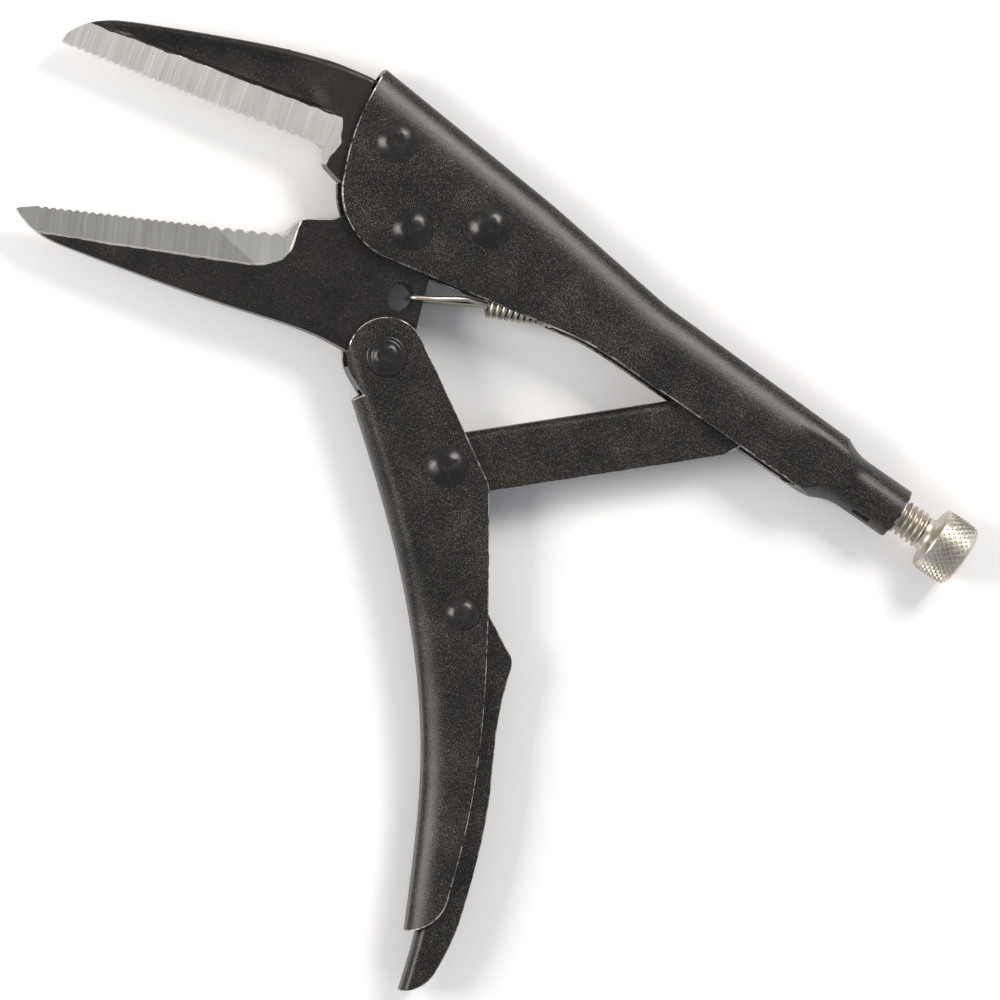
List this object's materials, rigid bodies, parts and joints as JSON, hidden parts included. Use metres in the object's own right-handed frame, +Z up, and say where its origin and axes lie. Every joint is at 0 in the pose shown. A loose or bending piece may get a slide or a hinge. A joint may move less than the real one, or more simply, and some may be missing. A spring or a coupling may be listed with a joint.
{
  "type": "long-nose locking pliers",
  "caption": "Long-nose locking pliers, jaws open: folded dark steel handles, riveted toggle link and release lever, forged toothed jaws, coil spring, knurled adjusting screw.",
  "frame": {"origin": "on the axis of the jaw pivot rivet, at its lower flat, on which the tool lies", "axes": "+X along the adjusting screw towards its knob, +Y from the lower handle's side towards the upper handle, +Z up along the rivets, away from the surface it lies on"},
  "size_m": [0.2261, 0.1634, 0.0152],
  "materials": {
    "dark_sheet": "satin, fine speckle",
    "forged_jaw": "forged black, ground bright beside the teeth",
    "rivet": "hammered, blackened, satin",
    "bright_plate": "nickel plated, worn",
    "spring_wire": "bright drawn wire"
  },
  "bodies": {
    "upper_handle": {"upper_handle": "dark_sheet", "fixed_jaw": "forged_jaw", "fixed_jaw_front_rivet": "rivet", "fixed_jaw_rear_rivet": "rivet", "jaw_pivot_rivet": "rivet", "jaw_spring": "spring_wire"},
    "lower_jaw": {"lower_jaw": "forged_jaw"},
    "lower_handle": {"lower_handle": "dark_sheet", "handle_pivot_rivet": "rivet", "link_pivot_rivet": "rivet", "release_lever_rivet": "rivet"},
    "toggle_link": {"toggle_link": "dark_sheet"},
    "release_lever": {"release_lever": "dark_sheet"},
    "adjusting_screw": {"adjusting_screw": "bright_plate"},
    "adjusting_knob": {"adjusting_knob": "bright_plate"}
  },
  "joints": [
    {"name": "jaw_pivot", "type": "hinge", "parent": "upper_handle", "child": "lower_jaw", "pos_m": [0, 0, 0.0076], "axis": [0, 0, 1], "range_deg": [-24.5, 0], "stiffness_Nm_per_rad": 0.05, "springref_deg": 17.19, "deforming": ["jaw_spring"]},
    {"name": "handle_swing", "type": "hinge", "parent": "lower_jaw", "child": "lower_handle", "pos_m": [0.0107, -0.0259, 0.0076], "axis": [0, 0, 1], "range_deg": [0, 68]},
    {"name": "link_swing", "type": "hinge", "parent": "lower_handle", "child": "toggle_link", "pos_m": [0.0352, -0.0382, 0.0076], "axis": [0, 0, 1], "range_deg": [-61, 0]},
    {"name": "release_lever_pivot", "type": "hinge", "parent": "lower_handle", "child": "release_lever", "pos_m": [0.0556, -0.0627, 0.0076], "axis": [0, 0, 1], "range_deg": [0, 8]},
    {"name": "screw_travel", "type": "slide", "parent": "upper_handle", "child": "adjusting_screw", "axis": [1, 0, 0], "range_m": [0, 0.01]},
    {"name": "knob_turn", "type": "hinge", "parent": "adjusting_screw", "child": "adjusting_knob", "pos_m": [0.136, 0.0092, 0.0076], "axis": [1, 0, 0], "range_deg": [0, 2560]}
  ],
  "couplings": [
    {"joint": "jaw_pivot", "follows": "handle_swing", "ratio": -0.36029},
    {"joint": "link_swing", "follows": "handle_swing", "ratio": -0.89705},
    {"joint": "knob_turn", "follows": "screw_travel", "rad_per_m": 4452.4}
  ]
}
